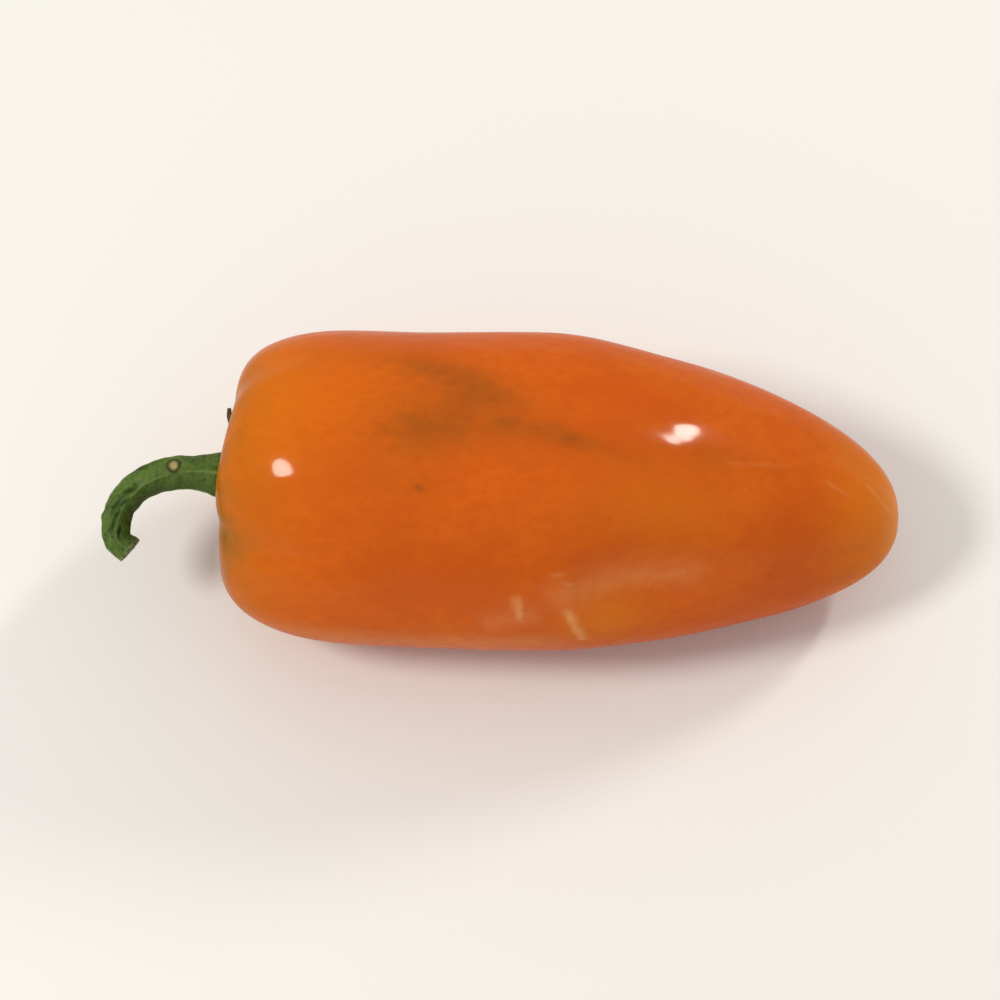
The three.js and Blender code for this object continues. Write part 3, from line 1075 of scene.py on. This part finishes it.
@dataclass
class Stem:
    """The hooked stem, and the calyx that it widens into, which lies in the fruit's hollow."""

    fruit: Fruit
    lean: float = 25.0
    line: Line = (
        (4.0, 0.6),
        (1.2, 0.9),
        (-1.9, 1.2),
        (-5.1, 1.15),
        (-8.3, 0.1),
        (-10.5, -2.0),
        (-11.4, -4.7),
        (-11.1, -6.5),
        (-9.7, -7.7),
    )
    radii: tuple[float, float, float, float] = (3.1, 1.98, 1.72, 1.6)
    angles: int = 5
    angle_share: float = 0.75
    calyx_radius: float = 5.3
    teeth: tuple[Tooth, ...] = (
        Tooth(-48.0, 9.3),
        Tooth(27.0, 6.7),
        Tooth(96.0, 6.3),
        Tooth(170.0, 7.0),
        Tooth(243.0, 6.6),
    )
    tooth_half_turn: float = 17.0
    calyx_thick: float = 0.9
    calyx_edge: float = 0.45
    seat_gap: float = 0.42
    splits: tuple[Split, ...] = (
        Split(14.2, -4.0, 0.95, 0.30, 0.34),
        Split(15.6, 10.0, 0.75, 0.26, 0.26),
        Split(16.3, -16.0, 1.0, 0.30, 0.30),
        Split(17.4, 2.0, 0.7, 0.24, 0.24),
        Split(18.6, -8.0, 0.9, 0.28, 0.26),
        Split(19.4, 22.0, 0.8, 0.24, 0.22),
        Split(12.2, -60.0, 1.3, 0.22, 0.10),
        Split(17.5, 150.0, 1.4, 0.30, 0.07),
    )
    scar_at: float = 8.62
    scar_angle: float = -28.0
    scar_radius: float = 0.64
    scar_squash: float = 0.75
    scar_rim: float = 0.17
    scar_rim_height: float = 0.10
    scar_core_depth: float = 0.08
    twist: tuple[float, float, float] = (-4.0, 10.0, 7.0)
    split_bend: tuple[float, float] = (0.25, 2.2)
    lip: float = 0.04
    lip_half_long: float = 0.9
    roughness: tuple[float, float] = (0.03, 0.05)
    rough_length: float = 1.6
    cut_roughness: float = 0.10
    cut_hollow: float = 0.22
    tube_from: float = 0.17
    calyx_from: float = 0.52
    flare_carry: float = 0.8
    shade_angle: tuple[float, float] = (85.0, 68.0)
    # Painted shade at the hook's bend: its middle along the stem and half length, then its angle round the
    # stem and half width.
    hook_shade_at: tuple[float, float] = (16.6, 3.2)
    hook_shade_angle: tuple[float, float] = (5.0, 42.0)
    around: int = 240
    rows: tuple[int, int, int, int] = (14, 200, 40, 30)

    def path(self, count: int = 2000) -> tuple[Array, Array, Array]:
        """The stem's middle line: a centripetal Catmull-Rom curve through the points of its line.

        Args:
            count: number of points worked out.

        Returns:
            The points and their unit directions, and the length of the line up to each.
        """
        lean = math.radians(self.lean)
        up = np.array([0.0, math.cos(lean), math.sin(lean)])
        sideways, height = self.fruit.centreline(np.zeros(1))
        across = np.array(self.line)
        knots = across[:, :1] * np.array([1.0, 0.0, 0.0]) + across[:, 1:] * up
        knots = knots + np.array([0.0, sideways[0], height[0]])
        knots = np.concatenate([2 * knots[:1] - knots[1:2], knots, 2 * knots[-1:] - knots[-2:-1]])
        place = np.linspace(0.0, len(self.line) - 1.0, count)
        piece = np.minimum(place.astype(int), len(self.line) - 2)
        t = (place - piece)[:, None]
        p0, p1, p2, p3 = (knots[piece + i] for i in range(4))
        pairs = ((p0, p1), (p1, p2), (p2, p3))
        d01, d12, d23 = (np.sqrt(np.linalg.norm(b - a, axis=1))[:, None] for a, b in pairs)
        m1 = ((p1 - p0) / d01 - (p2 - p0) / (d01 + d12) + (p2 - p1) / d12) * d12
        m2 = ((p2 - p1) / d12 - (p3 - p1) / (d12 + d23) + (p3 - p2) / d23) * d12
        a, b = 2 * p1 - 2 * p2 + m1 + m2, -3 * p1 + 3 * p2 - 2 * m1 - m2
        points = a * t**3 + b * t**2 + m1 * t + p1
        ways = np.gradient(points, axis=0)
        ways /= np.linalg.norm(ways, axis=1, keepdims=True)
        lengths = np.concatenate([[0.0], np.cumsum(np.linalg.norm(np.diff(points, axis=0), axis=1))])
        return points, ways, lengths

    def radius(self, way: Array) -> Array:
        """Radius along the stem: base, middle, crook and end, joined by smooth steps.

        Args:
            way: share of the stem's length.

        Returns:
            The radius in millimetres.
        """
        base, middle, crook, end = self.radii
        upper = mixed(base, middle, smoothstep(way, 0.05, 0.3))
        lower = mixed(upper, crook, smoothstep(way, 0.3, 0.75))
        return mixed(lower, end, smoothstep(way, 0.75, 1.0))

    def faceted(self, angle: Array) -> Array:
        """Share of the radius on a rounded polygon: a circle mixed with a polygon of the same width.

        Args:
            angle: degrees round the stem, with a ridge at 0.

        Returns:
            The share, about 1.
        """
        half = 180.0 / self.angles
        off = np.radians((angle % (2.0 * half)) - half)
        flat = math.cos(math.radians(half)) / np.cos(off)
        middle = (1.0 + math.cos(math.radians(half))) / 2.0
        return mixed(1.0, flat / middle, self.angle_share * 0.6)

    def reach(self, turn: Array) -> Array:
        """Radius of the calyx's margin: the bays' radius, with a hump for each tooth.

        Args:
            turn: degrees from the top towards the front.

        Returns:
            The radius in millimetres.
        """
        radius = np.full(turn.shape, self.calyx_radius)
        for tooth in self.teeth:
            hump = bell(turn_off(turn, tooth.turn), self.tooth_half_turn)
            radius += (tooth.reach - self.calyx_radius) * hump
        return radius

    def seat(self, share: Array, turn: Array, thick: Array) -> Array:
        """A point of the calyx: the hollow's own, moved out by the gap and by the thickness.

        Args:
            share: share of the margin's radius.
            turn: degrees from the top towards the front.
            thick: thickness under the point.

        Returns:
            Points, with x, y, z last, in millimetres.
        """
        radius, turn = np.broadcast_arrays(share * self.reach(turn), turn)
        crest = self.fruit.crest_share(radius)
        points = self.fruit.skin(self.fruit.hollow_depth(radius), radius, turn, crest)
        points[..., 0] -= self.seat_gap + thick
        return points

    def tube(self, at: Array, angle: Array) -> tuple[Array, dict[Mask, Array]]:
        """The stem's own surface: its radius, ridges, splits, scar and roughness set off from its line.

        Args:
            at: length along the line, for each ring.
            angle: degrees round the stem.

        Returns:
            The points, rings by places around by x, y, z, and the masks on the same grid.
        """
        points, ways, lengths = self.path()
        total = lengths[-1]
        middle = np.stack([np.interp(at, lengths, points[:, i]) for i in range(3)], -1)
        way = np.stack([np.interp(at, lengths, ways[:, i]) for i in range(3)], -1)
        lean = math.radians(self.lean)
        outward = np.array([0.0, -math.sin(lean), math.cos(lean)])
        side = np.cross(outward, way)
        side /= np.linalg.norm(side, axis=1, keepdims=True)
        share = (at / total)[:, None]
        start, swing, pace = self.twist
        twist = angle + swing * np.sin(share * pace) + start
        reach = self.radius(share) * self.faceted(twist)
        below = 0.4 + 0.6 * np.cos(np.radians(angle - 90.0))
        reach = reach + self.lip * bell(at[:, None] - total, self.lip_half_long) * below
        split = np.zeros(reach.shape)
        for furrow in self.splits:
            around = np.radians(turn_off(angle, furrow.angle)) * self.radii[2]
            bend = self.split_bend[0] * np.sin((at[:, None] - furrow.at) * self.split_bend[1])
            mark = bell(at[:, None] - furrow.at, furrow.half_long) * bell(around + bend, furrow.half_wide)
            reach = reach - furrow.depth * mark
            split = np.maximum(split, mark)
        around = np.radians(turn_off(angle, self.scar_angle)) * self.radii[1]
        gap = np.hypot(at[:, None] - self.scar_at, around * self.scar_squash)
        rim = bell(gap - self.scar_radius, self.scar_rim)
        core = 1.0 - smoothstep(gap, self.scar_radius * 0.35, self.scar_radius * 0.85)
        reach = reach + self.scar_rim_height * rim - self.scar_core_depth * core
        angles = np.radians(angle)
        spoke = np.cos(angles)[..., None] * outward + np.sin(angles)[..., None] * side[:, None, :]
        plain = middle[:, None, :] + reach[..., None] * spoke
        rough = mixed(*self.roughness, smoothstep(share, 0.5, 0.8))
        reach = reach + rough * waves(plain, self.rough_length, 11, 20)
        grid = middle[:, None, :] + reach[..., None] * spoke
        half = 180.0 / self.angles
        near = np.abs((twist % (2.0 * half)) - half) / half
        ridge = smoothstep(near, 0.82, 1.0) * (1.0 - 0.5 * smoothstep(share, 0.6, 0.9))
        shaded = bell(turn_off(angle, self.shade_angle[0]), self.shade_angle[1]) * (1.0 - ridge)
        # Painted shade: darker at the hook's bend, on the face near angle 5, added at half strength to the
        # shade mask.
        patchy = bell(at[:, None] - self.hook_shade_at[0], self.hook_shade_at[1])
        patchy = patchy * bell(turn_off(angle, self.hook_shade_angle[0]), self.hook_shade_angle[1])
        around_scar = bell(gap - self.scar_radius, 0.9)
        return grid, {
            Mask.RIDGE: np.maximum(ridge, 0.55 * around_scar),
            Mask.SHADE: np.clip(shaded + 0.5 * patchy, 0.0, 1.0),
            Mask.SPLIT: split,
            Mask.SCAR: 0.9 * rim,
            Mask.SCAR_CORE: core,
        }

    def surface(self) -> tuple[Array, dict[Mask, Array]]:
        """The whole closed grid: over the cut end, along the stem, over the calyx and under it.

        Between the stem and the calyx each line is a curve of three points: the stem's ring, a ring carried
        on along the stem's line, and the calyx's ring.

        Returns:
            The points, rings by places around by x, y, z, and the masks on the same grid.
        """
        end_rows, stem_rows, flare_rows, calyx_rows = self.rows
        turn = (np.arange(self.around) * (360.0 / self.around))[None, :]
        angle = turn - self.lean
        total = self.path()[2][-1]
        at = np.linspace(total, total * self.tube_from, stem_rows)
        tube, marks = self.tube(at, angle)
        share = np.linspace(0.0, 1.0, end_rows, endpoint=False)[:, None]
        rim = tube[:1]
        middle = rim.mean(1, keepdims=True)
        tangent = middle - tube[4:5].mean(1, keepdims=True)
        tangent /= np.linalg.norm(tangent)
        cut = middle + (rim - middle) * share[..., None]
        rough = self.cut_roughness * waves(cut, 0.9, 21, 20) * (1.0 - share**4)
        cut = cut + (rough - self.cut_hollow * (1.0 - share**2))[..., None] * tangent
        flare = np.linspace(0.0, 1.0, flare_rows + 2)[1:-1, None, None]
        calyx_ring = self.seat(np.full((1, 1), self.calyx_from), turn, np.full((1, 1), self.calyx_thick))
        onward = (calyx_ring[..., :1] - tube[-1:, :, :1]) * self.flare_carry
        carried = tube[-1:] + np.array([1.0, 0.0, 0.0]) * onward
        joint = (1 - flare) ** 2 * tube[-1:] + 2 * flare * (1 - flare) * carried + flare**2 * calyx_ring
        out = np.linspace(self.calyx_from, 1.0, calyx_rows)[:, None]
        ribs = sum(bell(turn_off(turn, tooth.turn), 5.0) for tooth in self.teeth)
        thick = mixed(self.calyx_thick, self.calyx_edge, out**2) * (1.0 + 0.25 * ribs * (1.0 - out))
        top = self.seat(out, turn, thick)
        edge = self.seat(np.ones((3, 1)) * 1.005, turn, self.calyx_edge * np.array([[0.75], [0.5], [0.25]]))
        under = self.seat(np.linspace(1.0, 0.0, calyx_rows)[:, None], turn, np.zeros((1, 1)))
        grid = np.concatenate([cut, tube, joint, top, edge, under])
        grid[0], grid[-1] = grid[0].mean(0), grid[-1, 0]
        counts = [len(part) for part in (cut, tube, joint, top, edge, under)]
        starts = np.cumsum([0, *counts])
        masks = {mask: np.zeros(grid.shape[:2]) for mask in (*marks, Mask.CUT, Mask.CALYX, Mask.DRY)}
        for mask, values in marks.items():
            masks[mask][starts[1] : starts[2]] = values
        for mask in (Mask.RIDGE, Mask.SHADE):
            masks[mask][starts[2] : starts[3]] = marks[mask][-1:] * (1.0 - flare[..., 0])
        masks[Mask.CUT][: starts[1]] = 1.0
        masks[Mask.CUT][starts[1] : starts[2]] = bell(at[:, None] - total, 0.35)
        masks[Mask.CALYX][starts[2] : starts[3]] = flare[..., 0]
        masks[Mask.CALYX][starts[3] :] = 1.0
        margin = smoothstep(out * self.reach(turn), self.calyx_radius * 1.02, self.calyx_radius * 1.5)
        masks[Mask.DRY][starts[3] : starts[4]] = margin
        masks[Mask.DRY][starts[4] : starts[4] + 4] = margin[-1:]
        return grid, masks

    def build(self) -> bpy.types.Object:
        """Makes the mesh of the stem and calyx, closed from its cut end to under the calyx."""
        points, masks = self.surface()
        return closed_grid("hooked_stem_and_calyx", self.fruit.in_metres(points), masks)

    def dress(self, piece: bpy.types.Object, effects: SharedEffects) -> None:
        """Gives the stem its finish, and puts it in the CAD stem's place.

        Args:
            piece: the piece's object.
            effects: the shared node groups.
        """
        piece.data.materials.append(StemFinish().material(effects))
        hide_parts("stem_with_calyx")
        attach(piece, BODY)


# ---------------------------------------------------------------------------------------------------
# Stage, lights and camera
# ---------------------------------------------------------------------------------------------------


@dataclass(frozen=True)
class Lamp:
    """A soft light: the way to it from the pepper, how far it is, and its size and power."""

    name: str
    way: tuple[float, float, float]
    distance: float
    size: tuple[float, float]
    power: float
    colour: Colour = (1.0, 0.965, 0.875)

    def place(self, target: Vector) -> None:
        """Adds the light, facing the target.

        Args:
            target: the point that it faces, in metres.
        """
        lamp = bpy.data.lights.new(self.name, "AREA")
        lamp.shape = "ELLIPSE"
        lamp.size, lamp.size_y = self.size
        lamp.energy = self.power
        lamp.color = self.colour
        made = bpy.data.objects.new(self.name, lamp)
        way = Vector(self.way).normalized()
        upward = way.cross(Vector((1.0, 0.0, 0.0))).normalized()
        made.matrix_world = Matrix((upward.cross(way), upward, way)).transposed().to_4x4()
        made.location = target + way * self.distance
        bpy.context.collection.objects.link(made)


@dataclass
class Studio:
    """The pale floor, the lights, the surroundings and the camera."""

    floor_size: float = 3.0
    floor_colour: Colour = (0.86, 0.85, 0.835)
    sky: Colour = (1.0, 0.985, 0.965)
    sky_strength: float = 0.58
    elevation: float = 65.0
    distance: float = 0.45
    view_width: float = 0.115
    aim_along: float = 32.8
    aim_below: float = 1.15
    lamps: tuple[Lamp, ...] = (
        Lamp("left_lamp", (-0.585, -0.19, 0.788), 0.6, (0.135, 0.150), 1.65),
        Lamp("right_lamp", (0.63, 0.52, 0.577), 0.6, (0.045, 0.16), 1.0),
    )

    def build_floor(self) -> None:
        """Lays the floor, a plain matt sheet."""
        half = self.floor_size / 2.0
        mesh = bpy.data.meshes.new("floor")
        corners = [(-half, -half, 0.0), (half, -half, 0.0), (half, half, 0.0), (-half, half, 0.0)]
        mesh.from_pydata(corners, [], [(0, 1, 2, 3)])
        floor = bpy.data.objects.new("floor", mesh)
        bpy.context.collection.objects.link(floor)
        made = bpy.data.materials.new("pale_floor")
        made.use_nodes = True
        shader = made.node_tree.nodes["Principled BSDF"]
        shader.inputs["Base Color"].default_value = (*self.floor_colour, 1.0)
        shader.inputs["Roughness"].default_value = 0.7
        shader.inputs["Specular IOR Level"].default_value = 0.2
        mesh.materials.append(made)

    def light(self, target: Vector) -> None:
        """Sets the surroundings' light and adds the lamps.

        Args:
            target: the point that the lamps face, in metres.
        """
        world = bpy.data.worlds.new("studio")
        world.use_nodes = True
        background = world.node_tree.nodes["Background"]
        background.inputs["Color"].default_value = (*self.sky, 1.0)
        background.inputs["Strength"].default_value = self.sky_strength
        bpy.context.scene.world = world
        for lamp in self.lamps:
            lamp.place(target)

    def look(self, fruit: Fruit) -> None:
        """Adds the camera, which looks down on the pepper from the front.

        Args:
            fruit: the fruit, whose centreline the camera is aimed by.
        """
        angle = math.radians(self.elevation)
        sideways, height = fruit.centreline(np.array([self.aim_along]))
        aim = fruit.in_metres(np.array([self.aim_along, sideways[0], height[0]]))
        up = np.array([0.0, math.sin(angle), math.cos(angle)])
        back = np.array([0.0, -math.cos(angle), math.sin(angle)])
        target = aim - up * self.aim_below * MM
        camera = bpy.data.cameras.new("camera")
        camera.sensor_width = 36.0
        camera.lens = camera.sensor_width * self.distance / self.view_width
        camera.clip_start = 0.01
        made = bpy.data.objects.new("camera", camera)
        made.location = Vector(target + back * self.distance)
        made.rotation_euler = (math.pi / 2.0 - angle, 0.0, 0.0)
        bpy.context.collection.objects.link(made)
        bpy.context.scene.camera = made

    def show_plainly(self) -> None:
        """Shows colours as they are, with no film look."""
        bpy.context.scene.view_settings.view_transform = "Standard"
        bpy.context.scene.view_settings.look = "None"


def main() -> None:
    """Builds the pepper, then the stage round it."""
    logging.basicConfig(level=logging.INFO, format="%(name)s: %(message)s")
    effects = SharedEffects()
    fruit = Fruit()
    stem = Stem(fruit)
    for part in (fruit, stem):
        piece = part.build()
        part.dress(piece, effects)
        LOG.info("%s: %d faces", piece.name, len(piece.data.polygons))
    studio = Studio()
    studio.build_floor()
    studio.light(Vector(fruit.in_metres(np.array([fruit.belly_at, 0.0, fruit.rest_height]))))
    studio.look(fruit)
    studio.show_plainly()


if __name__ == "__main__":
    main()
